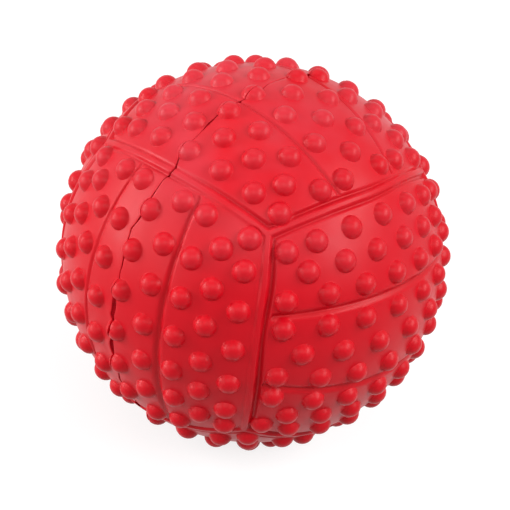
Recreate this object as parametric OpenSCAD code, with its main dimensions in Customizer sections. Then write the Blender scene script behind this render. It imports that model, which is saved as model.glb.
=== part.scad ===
// Hollow natural-rubber play ball with moulded nubs and the panel lines of a volleyball.
// Two moulded half shells meet on flat rims and are joined by a ring of cured cement.
// Millimetres. The origin is the ball's centre and +Z is up.
// The pattern lies on the six faces of a cube blown up to a sphere. Each face has three
// strips. They run along X on the faces at -Z and +Z, along Y on the faces at -X and +X,
// and along Z on the faces at -Y and +Y.

/* [Ball] */
// Diameter measured over the nubs
ball_d = 70; // [55:1:90]
// Thickness of the rubber wall between the cavity and the skin
wall = 5; // [4:0.25:7]

/* [Nubs] */
// Diameter of the round head of a nub
nub_d = 4.2; // [3.6:0.1:4.6]
// Height of a nub above the skin
nub_h = 1.5; // [1:0.1:2]
// Angles from the middle of a face to its second, third, fourth and fifth rows
row_angles = [9.6, 19.9, 28.5, 37.4]; // [9:0.1:38]
// Angles along a row of seven from its middle nub to the others
odd_places = [13, 25.6, 39]; // [12:0.1:40]
// Angles along a row of six from its middle to its nubs
even_places = [6.8, 19.6, 32.4]; // [6:0.1:33]
// Angles along the outermost row from its middle nub to the others
edge_places = [15.2, 29.3, 39.7]; // [14:0.1:40]
// How strongly the rows draw together toward the ends of a face
row_taper = 0.77; // [0.6:0.01:0.9]

/* [Panel lines] */
// Width of a groove at the skin
groove_w = 1.1; // [0.8:0.1:1.3]
// Depth of a groove below the skin
groove_depth = 0.55; // [0.3:0.05:0.9]
// Distance between the two grooves that run beside each seam between faces
seam_spacing = 1.5; // [1.4:0.1:1.8]
// Depth below the skin of the flat bead left between those two grooves
bead_drop = 0.1; // [0.05:0.05:0.25]
// Angle from the middle of a face to the groove between two of its strips
strip_angle = 14.8; // [14.4:0.1:15.2]
// Part of that angle by which the groove's circle is tilted, which draws its ends inward
strip_tilt_share = 0.82; // [0.7:0.02:0.94]

/* [Joint between the half shells] */
// Distance of the parting plane from the centre, toward -X
parting_offset = 0.8; // [0.4:0.1:1.2]
// Thickness of the cement between the two rims
cement_t = 0.3; // [0.2:0.05:0.5]
// Depth of the cement below the skin where none was squeezed out
cement_recess = 0.45; // [0.2:0.05:0.8]
// Height above the skin of the cement that was squeezed out
flash_h = 0.3; // [0.1:0.05:0.6]
// Height of the lip of cement inside the cavity
inner_lip_h = 0.9; // [0.3:0.1:1.5]

/* [Smoothness] */
// Facets around the ball in the preview
ball_facets = 96; // [48:8:180]
// Facets around a nub in the preview
nub_facets = 24; // [16:4:48]

/* [Hidden] */

rubber = "#c8101c";
cement = "#8e0c16";

skin_r = ball_d / 2 - nub_h;
cavity_r = skin_r - wall;
nub_centre_r = ball_d / 2 - nub_d / 2;
overrun = groove_depth;
groove_slope = groove_w / 2 / groove_depth;
groove_mouth = groove_w / 2 + groove_slope * overrun;
cut_size = 2 * ball_d;

// A seam covers half an edge of the blown-up cube on each side of its middle. It stops
// short of the corner by the mitre that three bands at 120 degrees need.
edge_half_angle = atan(1 / sqrt(2));
band_half_w = (seam_spacing + groove_w) / 2;
mitre_clearance = 0.05;
mitre = band_half_w / tan(60) + mitre_clearance;
seam_half_angle = edge_half_angle - asin(mitre / skin_r);

// Where two bands meet, a round pit joins the grooves on the face's side
pit_r = groove_w * 0.64;
pit_centre_r = skin_r + pit_r - groove_depth;
face_corner_angle = 90 - edge_half_angle;
pit_angle = face_corner_angle - asin(seam_spacing / 2 / sin(60) / skin_r);

// A groove between two strips ends in the nearer groove of the seam
strip_tilt = strip_angle * strip_tilt_share;
strip_rise = strip_angle - strip_tilt;
strip_end_angle = 44;
strip_half_angle = strip_end_angle - asin(seam_spacing / 2 / skin_r);

// Angles around the parting line where each tongue of squeezed-out cement begins, with
// the angle that it covers
tongues = [
    [8, 21], [47, 30], [96, 14], [128, 25], [171, 19],
    [214, 31], [262, 16], [305, 22], [339, 12],
];

// Rows of nubs on one face, each with its angle from the middle and its nubs' places
function both_ways(places) = [for (side = [-1, 1]) for (place = places) side * place];
odd_row = concat([0], both_ways(odd_places));
even_row = both_ways(even_places);
edge_row = concat([0], both_ways(edge_places));
half_face_rows = [
    [row_angles[0], odd_row], [row_angles[1], odd_row],
    [row_angles[2], even_row], [row_angles[3], edge_row],
];
face_rows = concat(
    [[0, even_row]],
    half_face_rows,
    [for (row = half_face_rows) [-row[0], row[1]]]
);

// Direction of a nub on the face at +Z, whose rows run along X
function nub_direction(row_angle, place) =
    let (lateral = row_angle * pow(cos(place), row_taper))
    [cos(lateral) * sin(place), sin(lateral), cos(lateral) * cos(place)];

// The same direction on the pair of faces along Z, along X or along Y
function turned(direction, pair) =
    pair == 0 ? direction :
    pair == 1 ? [direction.z, direction.x, direction.y] :
    [direction.y, direction.z, direction.x];

top_nubs = [for (row = face_rows) for (place = row[1]) nub_direction(row[0], place)];
nubs = [
    for (pair = [0:2]) for (side = [-1, 1]) for (top = top_nubs)
        turned([top.x, top.y, side * top.z], pair)
];

// The V-shaped section of one groove, with its mouth opened past the skin
module groove_section() {
    polygon([[-groove_depth, 0], [overrun, groove_mouth], [overrun, -groove_mouth]]);
}

// The section of the two grooves of a seam, with a flat bead standing between them
module band_section() {
    bottom = seam_spacing / 2;
    bead = bottom - groove_slope * (groove_depth - bead_drop);
    edge = bottom + groove_mouth;
    polygon([
        [overrun, -edge], [-groove_depth, -bottom], [-bead_drop, -bead],
        [-bead_drop, bead], [-groove_depth, bottom], [overrun, edge],
    ]);
}

// Sweeps a section along a circle on the skin, centred on +X and running along Y
module skin_arc(half_angle, rise) {
    rotate([0, 0, -half_angle])
        rotate_extrude(angle = 2 * half_angle, $fn = ball_facets)
            rotate(rise)
                translate([skin_r, 0])
                    children();
}

// The two grooves that part the three strips of the face at +Z
module strip_grooves() {
    for (side = [0, 1])
        mirror([0, side, 0])
            rotate([-strip_tilt, 0, 0])
                rotate(a = -120, v = [1, 1, 1])
                    skin_arc(strip_half_angle, strip_rise)
                        groove_section();
}

// The four pits at the corners of the face at +Z
module corner_pits() {
    for (corner = [0:3])
        rotate([0, pit_angle, 45 + corner * 90])
            translate([0, 0, pit_centre_r])
                sphere(r = pit_r, $fn = nub_facets);
}

// All panel lines, drawn for one pair of faces and turned to the other two pairs
module panel_lines() {
    for (pair = [0:2])
        rotate(a = pair * 120, v = [1, 1, 1]) {
            for (edge = [0:3])
                rotate([0, 45 + edge * 90, 0])
                    skin_arc(seam_half_angle, 0)
                        band_section();
            for (face = [0, 1])
                mirror([0, 0, face]) {
                    strip_grooves();
                    corner_pits();
                }
        }
}

// One nub, its head rounded and its foot sunk in the wall
module nub(direction) {
    rotate([0, acos(direction.z), atan2(direction.y, direction.x)])
        translate([0, 0, nub_centre_r])
            sphere(d = nub_d, $fn = nub_facets);
}

// A sphere about the centre, its seam line turned to the half that is cut away
module round_body(r, side) {
    rotate([0, 0, 90 + side * 90])
        sphere(r = r, $fn = ball_facets);
}

// The half of space on one side of the parting plane, clear of the cement
module rubber_space(side) {
    rim_x = side * cement_t / 2 - parting_offset;
    translate([rim_x + (side - 1) / 2 * cut_size, -cut_size / 2, -cut_size / 2])
        cube(cut_size);
}

// One moulded half: side is -1 for the half toward -X and 1 for the half toward +X
module half_shell(side) {
    color(rubber)
        intersection() {
            difference() {
                union() {
                    difference() {
                        round_body(skin_r, side);
                        panel_lines();
                    }
                    for (direction = nubs)
                        if (side * (direction.x * nub_centre_r + parting_offset) > -nub_d / 2)
                            nub(direction);
                }
                round_body(cavity_r, side);
            }
            rubber_space(side);
        }
}

module left_half_shell() {
    half_shell(-1);
}

module right_half_shell() {
    half_shell(1);
}

// A flat ring about X in the parting plane, over part of a turn or all of it
module cement_band(inner_r, outer_r, sweep) {
    translate([-parting_offset, 0, 0])
        rotate([0, 90, 0])
            rotate_extrude(angle = sweep, $fn = ball_facets)
                translate([inner_r, -cement_t / 2])
                    square([outer_r - inner_r, cement_t]);
}

// The cured cement between the rims, with tongues squeezed out past the skin and a lip
// left inside the cavity
module cement_ring() {
    color(cement)
        union() {
            cement_band(cavity_r - inner_lip_h, skin_r - cement_recess, 360);
            for (tongue = tongues)
                rotate([tongue[0], 0, 0])
                    cement_band(cavity_r + wall / 2, skin_r + flash_h, tongue[1]);
        }
}

left_half_shell();
right_half_shell();
cement_ring();
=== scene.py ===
"""Looks of a hollow rubber play ball: two moulded half shells, their cemented joint and a plain stage."""

import math

import bpy
import numpy
from mathutils import Matrix, Vector
from mathutils.geometry import delaunay_2d_cdt


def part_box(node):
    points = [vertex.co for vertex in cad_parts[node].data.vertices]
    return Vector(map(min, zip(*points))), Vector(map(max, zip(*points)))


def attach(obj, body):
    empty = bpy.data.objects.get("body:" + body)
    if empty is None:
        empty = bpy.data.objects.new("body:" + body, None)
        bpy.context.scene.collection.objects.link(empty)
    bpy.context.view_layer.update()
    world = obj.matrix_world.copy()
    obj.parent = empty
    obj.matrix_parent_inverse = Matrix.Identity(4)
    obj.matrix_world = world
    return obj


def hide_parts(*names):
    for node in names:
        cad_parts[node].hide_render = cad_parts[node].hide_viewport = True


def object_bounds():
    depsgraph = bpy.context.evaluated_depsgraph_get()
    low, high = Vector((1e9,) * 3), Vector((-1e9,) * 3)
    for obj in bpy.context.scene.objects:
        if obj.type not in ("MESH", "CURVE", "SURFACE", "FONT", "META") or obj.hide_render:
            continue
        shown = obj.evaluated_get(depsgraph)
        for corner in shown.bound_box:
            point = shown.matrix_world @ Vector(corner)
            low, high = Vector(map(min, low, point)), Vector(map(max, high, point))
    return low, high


bl_info = {
    "name": "Nubby Rubber Ball",
    "version": (1, 0, 0),
    "blender": (4, 5, 0),
    "location": "View3D > Sidebar > Ball",
    "description": "Moulds the shells of a nubby rubber ball, cements them and sets the stage",
    "category": "Object",
}

MM = 0.001
BODY = "root"
FACE_HALF_ANGLE = math.radians(45)

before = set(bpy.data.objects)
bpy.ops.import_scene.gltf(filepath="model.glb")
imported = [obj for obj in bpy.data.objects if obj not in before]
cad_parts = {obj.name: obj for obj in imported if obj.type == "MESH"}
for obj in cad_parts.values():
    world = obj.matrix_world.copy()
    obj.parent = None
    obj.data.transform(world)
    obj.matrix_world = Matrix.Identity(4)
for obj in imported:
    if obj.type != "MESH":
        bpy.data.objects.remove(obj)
cad_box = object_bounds()
RING_LOW, RING_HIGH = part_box("cement_ring")
PARTING_X = (RING_LOW.x + RING_HIGH.x) / 2
FLOOR_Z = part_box("right_half_shell")[0].z

# Rows of nubs on a panel face: how far each row lies from the middle of the face, and its nubs' places
# along it, in degrees.
ODD_PLACES = (0, 13, 25.6, 39)
EVEN_PLACES = (6.8, 19.6, 32.4)
EDGE_PLACES = (0, 15.2, 29.3, 39.7)
NUB_ROWS = (
    (0, EVEN_PLACES),
    (9.6, ODD_PLACES),
    (19.9, ODD_PLACES),
    (28.5, EVEN_PLACES),
    (37.4, EDGE_PLACES),
)

# Places round the parting line where it wanders or gapes: angle, spread in degrees, shift and opening in mm.
# The angle starts at the front and grows toward the top.
TORN_PLACES = (
    (80, 6, 0.9, 0.1),
    (65, 2, 0.0, 0.12),
    (54, 1.5, -0.2, 0.1),
    (45.5, 3, 0.7, 0.3),
    (36, 2, -0.2, 0.1),
    (22, 9, -0.75, 0.0),
    (29, 2, 0.1, 0.2),
    (25, 1.2, -0.25, 0.15),
    (17, 1.5, 0.15, 0.25),
    (9, 1.5, 0.2, 0.1),
    (1, 4, -0.1, 0.8),
    (-2.5, 1.2, -0.3, 0.3),
    (-6, 1.5, 0.3, 0.3),
    (-13.5, 3.5, -0.4, 0.7),
    (-19, 2, 0.1, 0.15),
    (-22, 1.2, -0.3, 0.2),
    (-29, 4, -0.7, 0.25),
    (103, 3, 0.5, 0.1),
    (118, 1.5, -0.35, 0.2),
    (131, 5, -0.4, 0.3),
    (158, 3, 0.3, 0.15),
    (187, 4, 0.5, 0.2),
    (201, 1.5, -0.35, 0.2),
    (214, 3, -0.3, 0.35),
    (251, 4, 0.4, 0.1),
    (266, 1.5, 0.3, 0.25),
    (282, 5, -0.5, 0.25),
    (309, 3, 0.3, 0.3),
)

# Places where a seam's groove is deeper or shallower than usual: the face it lies on, a direction from the
# ball's centre to the place, its spread in degrees and the change of depth as a share.
GROOVE_CHANGES = (
    ("+z", (1, -1, 1), 14, 0.5),
    ("+z", (0, -1, 1), 14, -0.6),
    ("-y", (0.6, -1, 1), 16, -0.8),
    ("-y", (-0.6, -1, 1), 18, -0.5),
    ("+z", (-0.6, -1, 1), 18, -0.6),
    ("-y", (1, -1, 0), 50, -0.85),
    ("+x", (1, -1, 0), 45, 0.5),
    ("+x", (1, -0.4, 1), 22, -0.35),
    ("+z", (1, 0.6, 1), 18, -0.4),
)

# Strip grooves that are wider and deeper than usual, or narrower: the face, a direction to the place, its
# spread in degrees and the change as a share.
STRIP_CHANGES = (
    ("-y", (0.27, -1, -0.1), 26, 1.0),
    ("-y", (-0.27, -1, 0.3), 24, -0.2),
    ("+x", (1, -0.5, 0.27), 35, 0.9),
    ("+x", (1, -0.3, -0.27), 35, 0.8),
)

# Places where a seam wanders: the two faces it parts, a direction to the place, its spread in degrees and how
# far it moves toward the first face in mm.
SEAM_SHIFTS = (
    ("-y", "+x", (1, -1, 1), 10, 0.5),
    ("-y", "+x", (1, -1, 0.1), 26, 0.9),
    ("+x", "+z", (1, 0, 1), 13, 0.5),
)

# Where the left shell's lip stands proud of the right one's: angle and spread in degrees, height in mm.
RAISED_LIPS = ((-12, 13, 0.17), (150, 12, 0.15), (235, 15, 0.15))

# Numbers that start the random draws.
SEEDS = {
    "nub_heights": 3,
    "joint_wander": 5,
    "joint_tearing": 6,
    "joint_gap": 7,
    "cement_skin": 11,
    "cement_flash": 12,
    "cement_bead": 13,
    "seam_grooves": 21,
    "strip_grooves": 22,
}

# Powers that shape the panels: how sharply the rows turn into the seam near a face's edge, how full a seam's
# groove is (under 1) and how sharp a strip's groove is (over 1).
SEAM_PULL = 6
SEAM_FULLNESS = 0.85
STRIP_SHARPNESS = 1.5

# How much the grooves vary, over what angle, and between what shares of their usual size.
GROOVE_VARIATION = 0.2
GROOVE_WAVE = math.radians(30)
LEAST_SHARE = 0.08
MOST_SHARE = 1.8

# Mesh of a nub: vertices round it, rings on its head, the flat margin round its foot and the room that is
# cleared for it in the grid.
NUB_SIDES = 24
HEAD_RINGS = 5
NUB_MARGIN = 0.1 * MM
NUB_CLEARING = 0.24 * MM

# The joint: how far the skin follows its line, how deep below the skin the rims stay ragged, and how far
# above the hollow they end.
JOINT_REACH = 4 * MM
RAGGED_DEPTH = 1.4 * MM
RIM_END = 0.6 * MM

# Vertices round the hollow and round the cement, and the angles at which their shading breaks.
HOLLOW_SIDES = 96
CEMENT_SIDES = 960
SHELL_EDGE_ANGLE = math.radians(55)
CEMENT_EDGE_ANGLE = math.radians(50)

# Distance under which two places count as one when a mesh is cut or woven.
TINY = 1e-7

# The half shells: side of the parting plane, name, and the part's node that each one replaces.
HALVES = ((-1, "left_shell", "left_half_shell"), (1, "right_shell", "right_half_shell"))

# Soft lights: name, place as the camera sees it (right, up, toward it), width and height in metres, turn in
# degrees, and brightness, where 1 is white.
SOFTBOX_DISTANCE = 0.9
SOFTBOXES = (
    ("softbox_left", (-0.92, 0.18, 0.12), (0.26, 0.85), 0, 12.2),
    ("softbox_right", (0.8, 0.3, 0.46), (0.30, 0.8), -30, 9.5),
    ("softbox_top", (-0.1, 0.92, 0.3), (0.9, 0.3), 0, 1.9),
    ("softbox_front", (0.0, 0.24, 0.96), (0.8, 0.4), 0, 2.9),
    ("softbox_fill", (-0.78, 0.08, 0.62), (0.36, 0.8), 0, 2.9),
)

# The rest of the stage: the even light all round; the floor's radius in metres, its vertices, whiteness and
# glow; the camera's sensor in millimetres and its nearest sight.
WORLD_LIGHT = 0.26
FLOOR_RADIUS = 2.5
FLOOR_SIDES = 96
FLOOR_WHITE = 0.28
FLOOR_GLOW = 0.8
SENSOR_WIDTH = 36
CLIP_START = 10 * MM


def length(name, description, default):
    """A size in metres that a user can change."""
    return bpy.props.FloatProperty(
        name=name, description=description, default=default, subtype="DISTANCE", unit="LENGTH", precision=5
    )


def angle(name, description, degrees):
    """An angle that a user can change."""
    return bpy.props.FloatProperty(
        name=name, description=description, default=math.radians(degrees), subtype="ANGLE", unit="ROTATION"
    )


def plain_number(name, description, default):
    """A number without a unit that a user can change."""
    return bpy.props.FloatProperty(name=name, description=description, default=default, precision=3)


def colour(name, description, hex_value):
    """A colour that a user can change, given as sRGB hex."""
    return bpy.props.FloatVectorProperty(
        name=name, description=description, default=linear(hex_value), subtype="COLOR", size=4, min=0, max=1
    )


def linear(hex_value):
    """Turns an sRGB hex value to a linear colour."""
    parts = [int(hex_value[place : place + 2], 16) / 255 for place in (1, 3, 5)]
    curved = (part / 12.92 if part <= 0.04045 else ((part + 0.055) / 1.055) ** 2.4 for part in parts)
    return (*curved, 1)


class MouldSizes(bpy.types.PropertyGroup):
    """Sizes that the mould gives the rubber."""

    skin_radius: length("Skin radius", "Radius of the skin between the nubs", 33.5 * MM)
    wall: length("Wall", "Thickness of the rubber wall", 5 * MM)
    nub_radius: length("Nub radius", "Radius of the round head of a nub", 2.12 * MM)
    nub_height: length("Nub height", "Height of a nub above the skin", 1.5 * MM)
    nub_foot: length("Nub foot", "Radius of the fillet at the foot of a nub", 0.06 * MM)
    groove_width: length("Groove width", "Width of a seam's groove at the skin", 1.3 * MM)
    groove_depth: length("Groove depth", "Usual depth of a seam's groove", 0.46 * MM)
    strip_width: length("Strip groove width", "Usual width of the groove between two strips", 1.1 * MM)
    strip_depth: length("Strip groove depth", "Usual depth of the groove between two strips", 0.43 * MM)
    seam_spacing: length("Seam spacing", "Distance between the two grooves of a seam", 2.0 * MM)
    bead_rise: length("Bead rise", "Height of the bead between those grooves above the skin", 0.24 * MM)
    strip_angle: angle("Strip angle", "Angle from the middle of a face to the groove of a strip", 14.8)
    row_taper: plain_number("Row taper", "How strongly the rows draw together toward a face's ends", 0.77)
    coarse_step: length("Coarse step", "Mesh spacing on the open skin", 0.55 * MM)
    fine_step: length("Fine step", "Mesh spacing at the grooves", 0.17 * MM)


class JointSizes(bpy.types.PropertyGroup):
    """Sizes of the cemented joint."""

    gap: length("Gap", "Width of the joint where it is tight", 0.06 * MM)
    recess: length("Recess", "How far the cement lies below the skin", 0.06 * MM)
    lip_round: length("Lip rounding", "Radius of the worn edge of each shell", 0.14 * MM)


class Finishes(bpy.types.PropertyGroup):
    """Colours of the rubber and the cement."""

    rubber: colour("Rubber", "Colour of the moulded rubber", "#c6081a")
    # Painted shade: this darker red fills the rubber's grooves; the cement also uses it for its lighter
    # lumps.
    deep_rubber_and_groove_shade: colour("Deep rubber and groove shade", "Colour of the shade painted into the rubber's grooves, and of the cement's lighter lumps", "#b80716")
    # Painted sheen: a lighter pink laid over the rubber's upper side in slow patches, standing in for the
    # haze of the lights from above.
    painted_sheen: colour("Painted sheen", "Colour of the sheen painted on the rubber's upper side", "#c63642")
    cement: colour("Cement", "Colour of the cured rubber cement", "#620409")


class StageSizes(bpy.types.PropertyGroup):
    """Placing of the camera."""

    azimuth: angle("Azimuth", "Direction of the camera round the ball, from the front", 38.9)
    elevation: angle("Elevation", "Height of the camera above the ball", 29.7)
    roll: angle("Roll", "Turn of the camera about its own axis", 8.0)
    distance: length("Distance", "Distance from the camera to the ball's centre", 469 * MM)
    aim_right: length("Aim right", "How far right of the centre the camera aims", 0.48 * MM)
    aim_down: length("Aim down", "How far below the centre the camera aims", 0.46 * MM)
    lens: plain_number("Lens", "Focal length in millimetres on a 36 mm sensor", 187.3)


def select_only(piece):
    """Makes one object the selected and active one."""
    bpy.ops.object.select_all(action="DESELECT")
    piece.select_set(True)
    bpy.context.view_layer.objects.active = piece


def added_piece(name):
    """Names the object that was just added or joined, and its mesh."""
    piece = bpy.context.object
    piece.name = name
    piece.data.name = name
    return piece


def read_points(piece):
    """The places of an object's vertices, one row each."""
    points = numpy.empty(len(piece.data.vertices) * 3)
    piece.data.vertices.foreach_get("co", points)
    return points.reshape(-1, 3)


def write_points(piece, points):
    """Moves an object's vertices to the rows of an array."""
    piece.data.vertices.foreach_set("co", numpy.ascontiguousarray(points, dtype=numpy.float32).ravel())
    piece.data.update()


def select_in_mesh(piece, kind, chosen):
    """Selects exactly the chosen vertices, edges or faces of an object."""
    bpy.context.tool_settings.mesh_select_mode = (kind == "vertices", kind == "edges", kind == "polygons")
    mesh = piece.data
    for items in (mesh.vertices, mesh.edges, mesh.polygons):
        items.foreach_set("select", numpy.zeros(len(items), dtype=bool))
    getattr(mesh, kind).foreach_set("select", numpy.asarray(chosen, dtype=bool))
    if kind == "edges":
        ends = edge_ends(piece)[numpy.asarray(chosen, dtype=bool)]
        touched = numpy.zeros(len(mesh.vertices), dtype=bool)
        touched[ends.ravel()] = True
        mesh.vertices.foreach_set("select", touched)


def edge_ends(piece):
    """The two vertices of each edge."""
    ends = numpy.empty(len(piece.data.edges) * 2, dtype=numpy.int64)
    piece.data.edges.foreach_get("vertices", ends)
    return ends.reshape(-1, 2)


def faces_per_edge(piece):
    """How many faces meet at each edge."""
    edge_of_corner = numpy.empty(len(piece.data.loops), dtype=numpy.int64)
    piece.data.loops.foreach_get("edge_index", edge_of_corner)
    return numpy.bincount(edge_of_corner, minlength=len(piece.data.edges))


def copied(piece, name):
    """A copy of an object with its own mesh."""
    twin = piece.copy()
    twin.data = piece.data.copy()
    twin.name = name
    twin.data.name = name
    bpy.context.collection.objects.link(twin)
    return twin


def joined(pieces, name):
    """Joins objects into the first of them."""
    bpy.ops.object.select_all(action="DESELECT")
    for piece in pieces:
        piece.select_set(True)
    bpy.context.view_layer.objects.active = pieces[0]
    bpy.ops.object.join()
    return added_piece(name)


def smooth_step(low, high, value):
    """Rises from 0 at low to 1 at high with level ends."""
    way = numpy.clip((value - low) / (high - low), 0, 1)
    return way * way * (3 - 2 * way)


def slow_noise(points, wavelength, seed, waves=9):
    """A smooth random value of about -1 to 1 at each point, made of plane waves of about that wavelength."""
    source = numpy.random.RandomState(seed)
    total = numpy.zeros(len(points))
    for _ in range(waves):
        direction = source.normal(size=3)
        direction /= numpy.linalg.norm(direction)
        pace = 2 * math.pi / (wavelength * source.uniform(0.7, 1.5))
        total += numpy.sin(points @ direction * pace + source.uniform(0, 2 * math.pi))
    return total / math.sqrt(waves)


def tapered(across, along, row_taper):
    """Angle across the face of a row at a place along it, from its angle at the middle of the face.

    The rows draw together toward the ends, and the outermost one is the seam itself.
    """
    drawn_in = numpy.cos(along) ** row_taper
    seam_ratio = numpy.arctan(numpy.cos(along)) / (FACE_HALF_ANGLE * drawn_in)
    outwardness = (numpy.abs(across) / FACE_HALF_ANGLE) ** SEAM_PULL
    return across * drawn_in * (1 + outwardness * (seam_ratio - 1))


def face_directions(across, along):
    """Unit vectors on the top face, whose strips run along X."""
    level = numpy.cos(across)
    return numpy.stack([level * numpy.sin(along), numpy.sin(across), level * numpy.cos(along)], axis=-1)


def on_cube(directions):
    """Where directions cross the plane of the top face of a cube with half sides of 1."""
    return directions[..., :2] / directions[..., 2:]


def off_cube(points):
    """Unit vectors through points of that plane."""
    directions = numpy.column_stack([points[:, 0], points[:, 1], numpy.ones(len(points))])
    return directions / numpy.linalg.norm(directions, axis=1, keepdims=True)


def mesh_rows(sizes):
    """Angles across a face of the mesh's rows, close together at the grooves and wide elsewhere."""
    radius = sizes.skin_radius
    samples = 8001
    strip_near, strip_far = 0.55 * sizes.groove_width, 1.1 * sizes.groove_width
    seam_near, seam_far = 1.8 * sizes.groove_width, 2.4 * sizes.groove_width
    across = numpy.linspace(-FACE_HALF_ANGLE, FACE_HALF_ANGLE, samples)
    from_strip = numpy.abs(numpy.abs(across) - sizes.strip_angle) * radius
    from_seam = (FACE_HALF_ANGLE - numpy.abs(across)) * radius
    strip_zone = 1 - smooth_step(strip_near, strip_far, from_strip)
    seam_zone = 1 - smooth_step(seam_near, seam_far, from_seam)
    closeness = numpy.maximum(strip_zone, seam_zone)
    step = sizes.coarse_step + (sizes.fine_step - sizes.coarse_step) * closeness
    rows_so_far = numpy.concatenate([[0], numpy.cumsum(radius * numpy.diff(across) / step[1:])])
    count = 2 * round(rows_so_far[-1] / 2)
    rows = numpy.interp(numpy.linspace(0, rows_so_far[-1], count + 1), rows_so_far, across)
    return (rows - rows[::-1]) / 2


def nub_directions(sizes):
    """Unit vectors of the nubs on the top face."""
    across = []
    along = []
    for row, places in NUB_ROWS:
        for side in (1, -1) if row else (1,):
            for place in places:
                for end in (1, -1) if place else (1,):
                    along.append(math.radians(end * place))
                    across.append(math.radians(side * row))
    across = numpy.array(across)
    along = numpy.array(along)
    return face_directions(across * numpy.cos(along) ** sizes.row_taper, along)


def nub_profile(sizes, distance):
    """Height of a nub at a distance from its axis: a round head, and a hollow fillet at its foot."""
    centre = sizes.nub_height - sizes.nub_radius
    reach = sizes.nub_radius + sizes.nub_foot
    foot_end = math.sqrt(reach**2 - (sizes.nub_foot - centre) ** 2)
    head_end = foot_end * sizes.nub_radius / reach
    head = centre + numpy.sqrt(numpy.maximum(sizes.nub_radius**2 - distance**2, 0))
    foot = sizes.nub_foot - numpy.sqrt(numpy.maximum(sizes.nub_foot**2 - (foot_end - distance) ** 2, 0))
    beside_head = numpy.where(distance < foot_end, foot, 0)
    return numpy.where(distance < head_end, head, beside_head), head_end, foot_end


def way_out(distance, width):
    """Rises from 0 at a groove's middle to 1 at its edge and beyond."""
    return numpy.clip(numpy.abs(distance) / (width / 2), 0, 1)


def seam_profile(distance, width):
    """Depth share of a groove with a rounded bottom and rounded shoulders."""
    return (0.5 + 0.5 * numpy.cos(math.pi * way_out(distance, width))) ** SEAM_FULLNESS


def strip_profile(distance, width):
    """Depth share of a groove with a sharp bottom that fades into the skin."""
    return (1 - way_out(distance, width)) ** STRIP_SHARPNESS


def off_angle(directions, place):
    """Angle of each direction from a place."""
    return numpy.arccos(numpy.clip(directions @ numpy.array(place) / numpy.linalg.norm(place), -1, 1))


def bump(directions, place, spread):
    """Falls from 1 at a place to 0 some way off; the spread is in degrees."""
    return numpy.exp(-((off_angle(directions, place) / math.radians(spread)) ** 2))


def groove_shares(directions, faces, changes, seed):
    """Size shares of the grooves, which vary slowly and change at the listed places of each face."""
    share = 1 + GROOVE_VARIATION * slow_noise(directions, GROOVE_WAVE, seed)
    for face, place, spread, change in changes:
        share *= 1 + change * bump(directions, place, spread) * (faces == face)
    return numpy.clip(share, LEAST_SHARE, MOST_SHARE)


def axis_vector(face):
    """Unit vector of a face's name, such as +z."""
    return numpy.array([(axis == face[1]) * (1 if face[0] == "+" else -1) for axis in "xyz"])


def nearest_seam(sizes, directions):
    """Distance of each point from the middle of the nearest seam, and the name of the face under it."""
    seen = directions.copy()
    for toward, away, place, spread, move in SEAM_SHIFTS:
        step = (axis_vector(away) - axis_vector(toward)) / math.sqrt(2) * move * MM / sizes.skin_radius
        seen += step * bump(directions, place, spread)[:, None]
    seen /= numpy.linalg.norm(seen, axis=1, keepdims=True)
    order = numpy.sort(numpy.abs(seen), axis=1)
    axis = numpy.abs(seen).argmax(axis=1)
    upward = seen[numpy.arange(len(seen)), axis] > 0
    faces = numpy.where(upward, numpy.array(["+x", "+y", "+z"])[axis], numpy.array(["-x", "-y", "-z"])[axis])
    off_seam = numpy.arcsin(numpy.clip((order[:, 2] - order[:, 1]) / math.sqrt(2), -1, 1))
    return off_seam * sizes.skin_radius, faces


def panel_relief(sizes, directions, nubs, turned, nub_share):
    """Height of the skin over its radius on a face: nubs up, panel lines down."""
    radius = sizes.skin_radius
    groove_at = sizes.seam_spacing / 2
    bead_top, bead_end = 0.25 * groove_at, 1.1 * groove_at
    strip_end, strip_full = 0.9 * groove_at, 1.6 * groove_at
    least_width = 0.4
    nub_clearance = 0.13 * MM

    closeness = directions @ nubs.T
    distance = numpy.arccos(numpy.clip(closeness.max(axis=1), -1, 1)) * radius
    nub, head_end, foot_end = nub_profile(sizes, distance)

    places = directions @ turned.T
    from_seam, faces = nearest_seam(sizes, places)
    depth_share = groove_shares(places, faces, GROOVE_CHANGES, SEEDS["seam_grooves"])
    seam_width = sizes.groove_width * (least_width + (1 - least_width) * depth_share)
    seam_groove = seam_profile(from_seam - groove_at - (seam_width - sizes.groove_width) / 2, seam_width)
    bead = sizes.bead_rise * (1 - smooth_step(bead_top, bead_end, from_seam))

    along = numpy.arctan2(directions[:, 0], directions[:, 2])
    across = numpy.arcsin(directions[:, 1])
    strip_line = sizes.strip_angle * numpy.cos(along) ** sizes.row_taper
    from_strip = (numpy.abs(across) - strip_line) * radius
    strip_share = groove_shares(places, faces, STRIP_CHANGES, SEEDS["strip_grooves"])
    strip_groove = numpy.sqrt(strip_share) * strip_profile(from_strip, sizes.strip_width * strip_share)
    in_face = (directions[:, 2] - numpy.abs(directions[:, :2]).max(axis=1)) / math.sqrt(2) * radius
    strip_groove *= smooth_step(strip_end, strip_full, numpy.minimum(from_seam, in_face))

    groove = numpy.maximum(sizes.groove_depth * depth_share * seam_groove, sizes.strip_depth * strip_groove)
    clear_of_nub = smooth_step(head_end, foot_end + nub_clearance, distance)
    return nub * nub_share[closeness.argmax(axis=1)] + (bead - groove) * clear_of_nub


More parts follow.
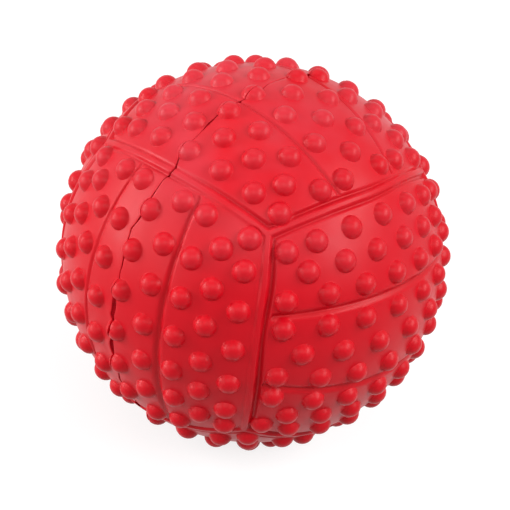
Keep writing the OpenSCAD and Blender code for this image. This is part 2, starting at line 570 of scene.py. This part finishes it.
def add_nub_disc(sizes):
    """One nub as a flat disc of rings, from the foot of its fillet in to its middle."""
    _, head_end, foot_end = nub_profile(sizes, numpy.zeros(1))
    steepest = math.asin(head_end / sizes.nub_radius)
    rings = [foot_end + NUB_MARGIN, foot_end, (head_end + foot_end) / 2]
    rings += [sizes.nub_radius * math.sin(steepest * step / HEAD_RINGS) for step in range(HEAD_RINGS, 0, -1)]
    bpy.ops.mesh.primitive_circle_add(vertices=NUB_SIDES, radius=rings[0], fill_type="NOTHING")
    disc = added_piece("nub_disc")
    bpy.ops.object.mode_set(mode="EDIT")
    bpy.ops.mesh.select_all(action="SELECT")
    for outer, inner in zip(rings, rings[1:]):
        bpy.ops.mesh.extrude_edges_move()
        bpy.ops.transform.resize(value=(inner / outer,) * 3)
    bpy.ops.mesh.extrude_edges_move()
    bpy.ops.mesh.merge(type="CENTER")
    bpy.ops.object.mode_set(mode="OBJECT")
    return disc


def weave_mesh(flat_piece):
    """Triangulates a flat piece between its edges, so that what was laid into it becomes one with it."""
    corners = [Vector(point[:2]) for point in read_points(flat_piece)]
    woven = delaunay_2d_cdt(corners, edge_ends(flat_piece).tolist(), [], 0, TINY)
    flat_piece.data.clear_geometry()
    flat_piece.data.from_pydata([(corner.x, corner.y, 0) for corner in woven[0]], [], woven[2])
    flat_piece.data.update()


def add_panel(sizes):
    """The top face of the skin: a grid with nub discs woven into it, bulged onto a ball of radius 1."""
    rows = mesh_rows(sizes)
    count = len(rows)
    ends = numpy.arctan(math.sqrt(2) * numpy.tan(tapered(rows, FACE_HALF_ANGLE, sizes.row_taper)))
    bpy.ops.mesh.primitive_grid_add(x_subdivisions=count - 1, y_subdivisions=count - 1, size=2)
    panel = added_piece("panel")
    grid = read_points(panel)
    along = ends[numpy.rint((grid[:, 0] + 1) / 2 * (count - 1)).astype(int)]
    across = rows[numpy.rint((grid[:, 1] + 1) / 2 * (count - 1)).astype(int)]
    directions = face_directions(tapered(across, along, sizes.row_taper), along)
    write_points(panel, numpy.column_stack([on_cube(directions), numpy.zeros(len(grid))]))

    nubs = nub_directions(sizes)
    _, _, foot_end = nub_profile(sizes, numpy.zeros(1))
    distance = numpy.arccos(numpy.clip(directions @ nubs.T, -1, 1)).min(axis=1) * sizes.skin_radius
    select_only(panel)
    select_in_mesh(panel, "vertices", distance < foot_end + NUB_CLEARING)
    bpy.ops.object.mode_set(mode="EDIT")
    bpy.ops.mesh.delete(type="VERT")
    bpy.ops.object.mode_set(mode="OBJECT")

    disc = add_nub_disc(sizes)
    flat = read_points(disc)
    turn = numpy.arctan2(flat[:, 1], flat[:, 0])
    spread = numpy.hypot(flat[:, 0], flat[:, 1]) / sizes.skin_radius
    discs = []
    for nub in nubs:
        first = numpy.cross((0, 1, 0), nub)
        first /= numpy.linalg.norm(first)
        second = numpy.cross(nub, first)
        outward = numpy.outer(numpy.cos(turn), first) + numpy.outer(numpy.sin(turn), second)
        ring_directions = numpy.outer(numpy.cos(spread), nub) + outward * numpy.sin(spread)[:, None]
        discs.append(copied(disc, "nub"))
        write_points(discs[-1], numpy.column_stack([on_cube(ring_directions), numpy.zeros(len(flat))]))
    bpy.data.objects.remove(disc)
    panel = joined([panel] + discs, "panel")

    weave_mesh(panel)
    write_points(panel, off_cube(read_points(panel)))
    return panel


def add_skin(sizes):
    """The whole moulded skin: six copies of the panel, turned so that the strips of neighbours cross."""
    panel = add_panel(sizes)
    directions = read_points(panel)
    nubs = nub_directions(sizes)
    varied = numpy.random.RandomState(SEEDS["nub_heights"])
    height_spread = 0.03
    least_height = 0.93
    weld = 0.01 * MM
    panels = []
    for normal in range(3):
        strip = (normal + 1) % 3
        side = (normal + 2) % 3
        for facing in (1, -1):
            turned = numpy.zeros((3, 3))
            turned[strip, 0] = 1
            turned[side, 1] = facing
            turned[normal, 2] = facing
            nub_share = varied.normal(1, height_spread, len(nubs)).clip(least_height, 1)
            height = sizes.skin_radius + panel_relief(sizes, directions, nubs, turned, nub_share)
            panels.append(copied(panel, "panel"))
            write_points(panels[-1], (directions * height[:, None]) @ turned.T)
    bpy.data.objects.remove(panel)
    skin = joined(panels, "skin")
    bpy.ops.object.mode_set(mode="EDIT")
    bpy.ops.mesh.select_all(action="SELECT")
    bpy.ops.mesh.remove_doubles(threshold=weld)
    bpy.ops.mesh.normals_make_consistent(inside=False)
    bpy.ops.object.mode_set(mode="OBJECT")
    return skin


def around_joint(points):
    """Angle of each point round the joint's axis, from the front toward the top."""
    return numpy.arctan2(points[:, 2], -points[:, 1])


def bump_sum(turn, places):
    """Adds up bumps round the joint, each with its angle and spread in degrees and its height in mm."""
    total = numpy.zeros(len(turn))
    for place, spread, height in places:
        off = numpy.angle(numpy.exp(1j * (turn - math.radians(place))))
        total += height * MM * numpy.exp(-((off / math.radians(spread)) ** 2))
    return total


def ragged(turn, wavelength, seed):
    """A smooth random value of about -1 to 1 round the joint."""
    circle = numpy.column_stack([numpy.cos(turn), numpy.sin(turn), numpy.zeros(len(turn))])
    return slow_noise(circle * cad_box[1].x, wavelength, seed)


def joint_line(turn):
    """How far the joint wanders along X at each angle: at its torn places, in slow waves and in fine ones."""
    torn = bump_sum(turn, [(place, spread, shift) for place, spread, shift, _ in TORN_PLACES])
    slow = 0.09 * MM * ragged(turn, 14 * MM, SEEDS["joint_wander"])
    fine = 0.06 * MM * ragged(turn, 2.2 * MM, SEEDS["joint_tearing"])
    return torn + slow + fine


def joint_gap(turn, joint):
    """Width of the joint at each angle: it varies, gapes at its torn places and never quite closes."""
    torn = bump_sum(turn, [(place, spread, opening) for place, spread, _, opening in TORN_PLACES])
    rough = 1 + 0.35 * ragged(turn, 5 * MM, SEEDS["joint_gap"])
    least = 0.5 * joint.gap
    return numpy.maximum(joint.gap * rough + torn, least)


def edge_shift(turn, joint, side):
    """How far a shell's edge lies from the parting plane at each angle."""
    return joint_line(turn) + side * joint_gap(turn, joint) / 2


def near_joint(x):
    """Falls from 1 at the parting plane to 0 well away from it."""
    return 1 - smooth_step(0, JOINT_REACH, numpy.abs(x - PARTING_X))


def cut_across(piece, x, side, clear):
    """Cuts a mesh square to X; with clear, only what lies on that side of the cut stays."""
    select_only(piece)
    bpy.ops.object.mode_set(mode="EDIT")
    bpy.ops.mesh.select_all(action="SELECT")
    bpy.ops.mesh.bisect(plane_co=(x, 0, 0), plane_no=(side, 0, 0), clear_inner=clear, threshold=TINY)
    bpy.ops.object.mode_set(mode="OBJECT")


def extrude_rim(piece):
    """Extrudes the open edge of a mesh in place and tells which vertices are new."""
    select_in_mesh(piece, "edges", faces_per_edge(piece) == 1)
    bpy.ops.object.mode_set(mode="EDIT")
    bpy.ops.mesh.extrude_edges_move()
    bpy.ops.object.mode_set(mode="OBJECT")
    chosen = numpy.zeros(len(piece.data.vertices), dtype=bool)
    piece.data.vertices.foreach_get("select", chosen)
    return chosen


def close_rims(piece, flat):
    """Joins the two open edges of a mesh, across a flat gap or as a band, and turns all its faces outward."""
    select_in_mesh(piece, "edges", faces_per_edge(piece) == 1)
    bpy.ops.object.mode_set(mode="EDIT")
    if flat:
        bpy.ops.mesh.fill(use_beauty=False)
    else:
        bpy.ops.mesh.bridge_edge_loops()
    bpy.ops.mesh.select_all(action="SELECT")
    bpy.ops.mesh.normals_make_consistent(inside=False)
    bpy.ops.object.mode_set(mode="OBJECT")


def to_radius(points, radius):
    """Points moved square to X onto a cylinder of that radius round X."""
    turn = around_joint(points)
    return numpy.column_stack([points[:, 0], -numpy.cos(turn) * radius, numpy.sin(turn) * radius])


def cut_half(half, joint, side):
    """Draws the ragged joint straight, cuts a half off along it and cuts rings for its worn lip."""
    rounds = 8
    lip_rings = (0.2, 0.5, 1.0)
    points = read_points(half)
    shift = edge_shift(around_joint(points), joint, side)
    straight = points[:, 0].copy()
    for _ in range(rounds):
        straight = points[:, 0] - shift * near_joint(straight)
    write_points(half, numpy.column_stack([straight, points[:, 1:]]))
    cut_across(half, PARTING_X, side, True)
    for share in lip_rings:
        cut_across(half, PARTING_X + side * share * joint.lip_round, side, False)


def wear_lip(half, joint, side):
    """Rounds a half's cut edge, raises the left one in places and makes it ragged again."""
    lip_end = 0.95 * joint.lip_round
    raised_width = 1.6 * MM
    points = read_points(half)
    turn = around_joint(points)
    from_cut = numpy.abs(points[:, 0] - PARTING_X)
    inward = numpy.clip(joint.lip_round - from_cut, 0, lip_end)
    drop = joint.lip_round - numpy.sqrt(joint.lip_round**2 - inward**2)
    if side < 0:
        drop -= bump_sum(turn, RAISED_LIPS) * (1 - smooth_step(0, raised_width, from_cut))
    points[:, 0] += edge_shift(turn, joint, side) * near_joint(points[:, 0])
    out = numpy.linalg.norm(points, axis=1)
    points *= ((out - drop) / out)[:, None]
    write_points(half, points)


def add_rim(half, sizes, joint, side):
    """Extrudes a half's cut edge inward, ragged near the skin and plain below."""
    rim_end = sizes.skin_radius - sizes.wall + RIM_END
    for radius, keep_ragged in ((sizes.skin_radius - RAGGED_DEPTH, 1), (rim_end, 0)):
        new = extrude_rim(half)
        points = read_points(half)
        rim = to_radius(points[new], radius)
        rim[:, 0] = PARTING_X + edge_shift(around_joint(rim), joint, side) * keep_ragged
        rim[:, 0] += side * joint.gap / 2 * (1 - keep_ragged)
        points[new] = rim
        write_points(half, points)


def add_hollow(sizes, joint, side):
    """The inside of one half shell."""
    cavity_radius = sizes.skin_radius - sizes.wall
    bpy.ops.mesh.primitive_uv_sphere_add(
        segments=HOLLOW_SIDES,
        ring_count=HOLLOW_SIDES // 2,
        radius=cavity_radius,
        rotation=(0, math.pi / 2, 0),
    )
    hollow = added_piece("hollow")
    bpy.ops.object.transform_apply(location=False, rotation=True, scale=False)
    cut_across(hollow, PARTING_X + side * joint.gap / 2, side, True)
    return hollow


def add_half(skin, sizes, joint, side, name):
    """One half shell: the skin cut along the ragged joint, with a worn lip, a flat rim and its inside."""
    half = copied(skin, name)
    cut_half(half, joint, side)
    wear_lip(half, joint, side)
    add_rim(half, sizes, joint, side)
    half = joined([half, add_hollow(sizes, joint, side)], name)
    close_rims(half, True)
    bpy.ops.object.shade_smooth_by_angle(angle=SHELL_EDGE_ANGLE)
    return half


def cement_sections(turn, sizes, joint):
    """Corners of the cement's section at each angle, from its left outer edge over its crest and back.

    Each has its place along X from the joint's middle, its radius, and 1 where it follows the ragged joint or
    0 where it follows the plain rims below.
    """
    half_gap = joint_gap(turn, joint) / 2
    tight = joint.gap / 2
    sunken = 0.07 * MM * (1 + ragged(turn, 3 * MM, SEEDS["cement_skin"]))
    skin = sizes.skin_radius - joint.recess - sunken
    flash = 0.35 * MM * smooth_step(0.5, 1.4, ragged(turn, 9 * MM, SEEDS["cement_flash"]))
    crest = skin + flash + 0.06 * MM
    crest_shift = 0.1 * half_gap
    ragged_end = sizes.skin_radius - RAGGED_DEPTH
    inside = sizes.skin_radius - sizes.wall
    rim_end = inside + RIM_END
    bead = 0.55 * MM + 0.25 * MM * ragged(turn, 12 * MM, SEEDS["cement_bead"])
    bead_side = tight + 0.25 * MM
    bead_shoulder = inside - 0.1 * MM
    return (
        (-half_gap, skin, 1),
        (crest_shift, crest, 1),
        (half_gap, skin, 1),
        (half_gap, ragged_end, 1),
        (tight, rim_end, 0),
        (bead_side, bead_shoulder, 0),
        (0, inside - bead, 0),
        (-bead_side, bead_shoulder, 0),
        (-tight, rim_end, 0),
        (-half_gap, ragged_end, 1),
    )


def add_ring(sizes, joint):
    """The cured cement between the shells: a band that lies below the skin, with a bead inside."""
    bpy.ops.mesh.primitive_circle_add(
        vertices=CEMENT_SIDES, radius=sizes.skin_radius, rotation=(0, math.pi / 2, 0)
    )
    ring = added_piece("cement_ring_worn")
    bpy.ops.object.transform_apply(location=False, rotation=True, scale=False)
    turn = around_joint(read_points(ring))
    wander = joint_line(turn)
    corners = []
    for offset, radius, keep_ragged in cement_sections(turn, sizes, joint):
        x = PARTING_X + wander * keep_ragged + offset
        corners.append(numpy.column_stack([x, -numpy.cos(turn) * radius, numpy.sin(turn) * radius]))
    select_only(ring)
    bpy.ops.object.mode_set(mode="EDIT")
    bpy.ops.mesh.select_all(action="SELECT")
    for _ in corners[1:]:
        bpy.ops.mesh.extrude_edges_move()
    bpy.ops.object.mode_set(mode="OBJECT")
    write_points(ring, numpy.concatenate(corners))
    close_rims(ring, False)
    bpy.ops.object.shade_smooth_by_angle(angle=CEMENT_EDGE_ANGLE)
    return ring


def add_node(tree, kind, settings=None, **links):
    """Adds a node, sets its properties and its sockets' values, and links sockets to it.

    A socket is named as in Blender with spaces as underscores; a value that is a socket becomes a link.
    """
    node = tree.nodes.new(kind)
    for name, value in (settings or {}).items():
        setattr(node, name, value)
    for name, value in links.items():
        socket = node.inputs[int(name[1:])] if name[1:].isdigit() else node.inputs[name.replace("_", " ")]
        if isinstance(value, bpy.types.NodeSocket):
            tree.links.new(value, socket)
        else:
            socket.default_value = value
    return node


def new_material(name):
    """A material without nodes, its tree, and a socket with the object's own coordinates."""
    material = bpy.data.materials.new(name)
    material.use_nodes = True
    tree = material.node_tree
    tree.nodes.clear()
    place = add_node(tree, "ShaderNodeTexCoord").outputs["Object"]
    return material, tree, place


def finish_material(tree, shader):
    """Links a shader to the material's output."""
    add_node(tree, "ShaderNodeOutputMaterial", Surface=shader.outputs[0])


def moulded_rubber(finishes, sizes):
    """Compression-moulded natural rubber.

    It has an even, saturated colour with a soft satin gloss. A painted sheen lightens its upper side in slow
    patches, standing in for the haze of the lights from above, and its grooves get a darker red as painted
    shade. The mould's bead-blasted wall leaves a fine grain.
    """
    material, tree, place = new_material("moulded_rubber")
    # Painted sheen: slow patches on the upper side are lightened toward pink, standing in for the haze of the
    # lights from above.
    patches = add_node(
        tree, "ShaderNodeTexNoise", Vector=place, Scale=1 / (16 * MM), Detail=3.0, Roughness=0.55
    )
    patch_share = add_node(
        tree,
        "ShaderNodeMapRange",
        Value=patches.outputs["Fac"],
        From_Min=0.35,
        From_Max=0.7,
        To_Min=0.0,
        To_Max=0.85,
    )
    height = add_node(tree, "ShaderNodeSeparateXYZ", Vector=place)
    top_share = add_node(
        tree,
        "ShaderNodeMapRange",
        Value=height.outputs["Z"],
        From_Min=0.3 * sizes.skin_radius,
        From_Max=0.8 * sizes.skin_radius,
        To_Min=0.0,
        To_Max=1.0,
    )
    painted_sheen_share = add_node(
        tree,
        "ShaderNodeMath",
        {"operation": "MULTIPLY"},
        _0=patch_share.outputs["Result"],
        _1=top_share.outputs["Result"],
    )
    # Painted shade: below the skin, in the grooves, the rubber gets the darker red.
    out = add_node(tree, "ShaderNodeVectorMath", {"operation": "LENGTH"}, _0=place)
    raised = add_node(
        tree,
        "ShaderNodeMapRange",
        Value=out.outputs["Value"],
        From_Min=sizes.skin_radius - sizes.groove_depth,
        From_Max=sizes.skin_radius,
        To_Min=0.0,
        To_Max=1.0,
    )
    ground = add_node(
        tree,
        "ShaderNodeMix",
        {"data_type": "RGBA"},
        Factor=raised.outputs["Result"],
        _6=tuple(finishes.deep_rubber_and_groove_shade),
        _7=tuple(finishes.rubber),
    )
    sheen_painted_colour = add_node(
        tree,
        "ShaderNodeMix",
        {"data_type": "RGBA"},
        Factor=painted_sheen_share.outputs[0],
        _6=ground.outputs[2],
        _7=tuple(finishes.painted_sheen),
    )
    # The mould's grain is about 0.1 mm wide, which is too fine to show, so it is drawn at 0.35 mm.
    grain = add_node(
        tree, "ShaderNodeTexNoise", Vector=place, Scale=1 / (0.35 * MM), Detail=2.0, Roughness=0.6
    )
    waves = add_node(
        tree, "ShaderNodeTexNoise", Vector=place, Scale=1 / (2.4 * MM), Detail=3.0, Roughness=0.5
    )
    wavy = add_node(tree, "ShaderNodeBump", Strength=0.35, Distance=0.08 * MM, Height=waves.outputs["Fac"])
    grainy = add_node(
        tree,
        "ShaderNodeBump",
        Strength=0.25,
        Distance=0.02 * MM,
        Height=grain.outputs["Fac"],
        Normal=wavy.outputs["Normal"],
    )
    gloss = add_node(
        tree,
        "ShaderNodeMapRange",
        Value=waves.outputs["Fac"],
        From_Min=0.3,
        From_Max=0.7,
        To_Min=0.36,
        To_Max=0.42,
    )
    shader = add_node(
        tree,
        "ShaderNodeBsdfPrincipled",
        Base_Color=sheen_painted_colour.outputs[2],
        Roughness=gloss.outputs["Result"],
        IOR=1.52,
        Specular_IOR_Level=0.17,
        Normal=grainy.outputs["Normal"],
    )
    finish_material(tree, shader)
    return material


def cured_cement(finishes):
    """Rubber cement, wiped on and cured.

    It is darker than the rubber and dull, with a lumpy torn surface.
    """
    material, tree, place = new_material("cured_rubber_cement")
    lumps = add_node(
        tree, "ShaderNodeTexNoise", Vector=place, Scale=1 / (1.2 * MM), Detail=4.0, Roughness=0.65
    )
    shade = add_node(
        tree,
        "ShaderNodeMapRange",
        Value=lumps.outputs["Fac"],
        From_Min=0.3,
        From_Max=0.7,
        To_Min=0.0,
        To_Max=0.6,
    )
    tone = add_node(
        tree,
        "ShaderNodeMix",
        {"data_type": "RGBA"},
        Factor=shade.outputs["Result"],
        _6=tuple(finishes.cement),
        _7=tuple(finishes.deep_rubber_and_groove_shade),
    )
    torn = add_node(tree, "ShaderNodeBump", Strength=0.5, Distance=0.1 * MM, Height=lumps.outputs["Fac"])
    shader = add_node(
        tree,
        "ShaderNodeBsdfPrincipled",
        Base_Color=tone.outputs[2],
        Roughness=0.7,
        IOR=1.52,
        Specular_IOR_Level=0.02,
        Normal=torn.outputs["Normal"],
    )
    finish_material(tree, shader)
    return material


def seen_share(tree):
    """A socket that is 1 for rays from the camera, a reflection or through glass, and 0 for others."""
    ray = add_node(tree, "ShaderNodeLightPath")
    seen = ray.outputs["Is Camera Ray"]
    for kind in ("Is Glossy Ray", "Is Transmission Ray"):
        larger = add_node(tree, "ShaderNodeMath", {"operation": "MAXIMUM"}, _0=seen, _1=ray.outputs[kind])
        seen = larger.outputs[0]
    return seen


def pale_floor(ground, strength_seen):
    """Matt white paper, which keeps the shadow and shows white to the camera and in reflections."""
    material, tree, place = new_material("matt_white_paper")
    darker = 0.97 * ground
    mottle = add_node(tree, "ShaderNodeTexNoise", Vector=place, Scale=1 / (40 * MM), Detail=2.0)
    tone = add_node(
        tree,
        "ShaderNodeMix",
        {"data_type": "RGBA"},
        Factor=mottle.outputs["Fac"],
        _6=(ground, ground, ground, 1),
        _7=(darker, darker, darker, 1),
    )
    matt = add_node(tree, "ShaderNodeBsdfDiffuse", Color=tone.outputs[2])
    dark = add_node(tree, "ShaderNodeEmission", Color=(0, 0, 0, 1), Strength=0.0)
    glow = add_node(tree, "ShaderNodeEmission", Color=(1, 1, 1, 1), Strength=strength_seen)
    lit = add_node(tree, "ShaderNodeMixShader", Fac=seen_share(tree), _1=dark.outputs[0], _2=glow.outputs[0])
    both = add_node(tree, "ShaderNodeAddShader", _0=matt.outputs[0], _1=lit.outputs[0])
    finish_material(tree, both)
    return material


def light_world(context, strength):
    """An even dim light all round, which shows white where it is seen."""
    world = bpy.data.worlds.new("studio")
    context.scene.world = world
    world.use_nodes = True
    tree = world.node_tree
    tree.nodes.clear()
    dim = add_node(tree, "ShaderNodeBackground", Color=(1, 1, 1, 1), Strength=strength)
    white = add_node(tree, "ShaderNodeBackground", Color=(1, 1, 1, 1), Strength=1.0)
    seen = seen_share(tree)
    shown = add_node(tree, "ShaderNodeMixShader", Fac=seen, _1=dim.outputs[0], _2=white.outputs[0])
    add_node(tree, "ShaderNodeOutputWorld", Surface=shown.outputs[0])


def camera_axes(stage):
    """Right, up and backward directions of the camera."""
    azimuth, elevation, roll = stage.azimuth, stage.elevation, stage.roll
    level_share = math.cos(elevation)
    back = Vector((math.sin(azimuth) * level_share, -math.cos(azimuth) * level_share, math.sin(elevation)))
    level = Vector((math.cos(azimuth), math.sin(azimuth), 0))
    upright = back.cross(level)
    right = level * math.cos(roll) + upright * math.sin(roll)
    up = -level * math.sin(roll) + upright * math.cos(roll)
    return right, up, back


def looking(right, up, back, place):
    """The placing of a lamp or camera from its axes."""
    turned = Matrix((right, up, back)).transposed().to_4x4()
    turned.translation = place
    return turned


def add_softbox(name, axes, place, size, turn, brightness):
    """A soft light that faces the ball, placed as the camera sees it and turned about its own axis."""
    right, up, back = axes
    toward = (right * place[0] + up * place[1] + back * place[2]).normalized()
    across = Matrix.Rotation(turn, 3, toward) @ up.cross(toward).normalized()
    bpy.ops.object.light_add(type="AREA")
    lamp = bpy.context.object
    lamp.name = name
    lamp.data.name = name
    lamp.data.shape = "RECTANGLE"
    lamp.data.size, lamp.data.size_y = size
    lamp.data.energy = brightness * math.pi * size[0] * size[1]
    lamp.matrix_world = looking(across, toward.cross(across), toward, toward * SOFTBOX_DISTANCE)
    return lamp


class BALL_OT_mould_shells(bpy.types.Operator):
    """Moulds the skin with its nubs and panel lines and cuts it into two hollow half shells"""

    bl_idname = "ball.mould_shells"
    bl_label = "Mould Half Shells"

    def execute(self, context):
        sizes = context.scene.ball_mould
        joint = context.scene.ball_joint
        rubber = moulded_rubber(context.scene.ball_finishes, sizes)
        skin = add_skin(sizes)
        for side, name, node in HALVES:
            half = add_half(skin, sizes, joint, side, name)
            half.data.materials.clear()
            half.data.materials.append(rubber)
            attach(half, BODY)
            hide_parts(node)
        bpy.data.objects.remove(skin)
        return {"FINISHED"}


class BALL_OT_cement_joint(bpy.types.Operator):
    """Fills the joint between the shells with cured cement"""

    bl_idname = "ball.cement_joint"
    bl_label = "Cement Joint"

    def execute(self, context):
        ring = add_ring(context.scene.ball_mould, context.scene.ball_joint)
        ring.data.materials.clear()
        ring.data.materials.append(cured_cement(context.scene.ball_finishes))
        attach(ring, BODY)
        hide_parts("cement_ring")
        return {"FINISHED"}


class BALL_OT_set_stage(bpy.types.Operator):
    """Lays the floor, hangs the soft lights and places the camera"""

    bl_idname = "ball.set_stage"
    bl_label = "Set Stage"

    def execute(self, context):
        stage = context.scene.ball_stage
        right, up, back = camera_axes(stage)
        bpy.ops.mesh.primitive_circle_add(
            vertices=FLOOR_SIDES, radius=FLOOR_RADIUS, fill_type="NGON", location=(0, 0, FLOOR_Z)
        )
        floor = added_piece("floor")
        bpy.ops.object.transform_apply(location=True, rotation=False, scale=False)
        floor.data.materials.append(pale_floor(FLOOR_WHITE, FLOOR_GLOW))

        for name, place, size, turn, brightness in SOFTBOXES:
            add_softbox(name, (right, up, back), place, size, math.radians(turn), brightness)
        light_world(context, WORLD_LIGHT)

        bpy.ops.object.camera_add()
        camera = context.object
        camera.name = "camera"
        camera.data.sensor_width = SENSOR_WIDTH
        camera.data.lens = stage.lens
        camera.data.clip_start = CLIP_START
        camera.matrix_world = looking(
            right, up, back, back * stage.distance + right * stage.aim_right - up * stage.aim_down
        )
        context.scene.camera = camera
        context.scene.view_settings.view_transform = "Standard"
        return {"FINISHED"}


class BALL_PT_workshop(bpy.types.Panel):
    """Lists the steps and their sizes"""

    bl_idname = "BALL_PT_workshop"
    bl_label = "Nubby Rubber Ball"
    bl_space_type = "VIEW_3D"
    bl_region_type = "UI"
    bl_category = "Ball"

    def draw(self, context):
        for operator, groups in STEPS:
            box = self.layout.box()
            box.operator(operator)
            for group in groups:
                settings = getattr(context.scene, group)
                for name in settings.__annotations__:
                    box.prop(settings, name)


STEPS = (
    ("ball.mould_shells", ("ball_mould", "ball_finishes")),
    ("ball.cement_joint", ("ball_joint",)),
    ("ball.set_stage", ("ball_stage",)),
)

GROUPS = {
    "ball_mould": MouldSizes,
    "ball_joint": JointSizes,
    "ball_finishes": Finishes,
    "ball_stage": StageSizes,
}

CLASSES = tuple(GROUPS.values()) + (
    BALL_OT_mould_shells,
    BALL_OT_cement_joint,
    BALL_OT_set_stage,
    BALL_PT_workshop,
)


def register():
    for entry in CLASSES:
        bpy.utils.register_class(entry)
    for name, group in GROUPS.items():
        setattr(bpy.types.Scene, name, bpy.props.PointerProperty(type=group))


def unregister():
    for name in GROUPS:
        delattr(bpy.types.Scene, name)
    for entry in reversed(CLASSES):
        bpy.utils.unregister_class(entry)


def main():
    register()
    bpy.ops.ball.mould_shells()
    bpy.ops.ball.cement_joint()
    bpy.ops.ball.set_stage()


if __name__ == "__main__":
    main()
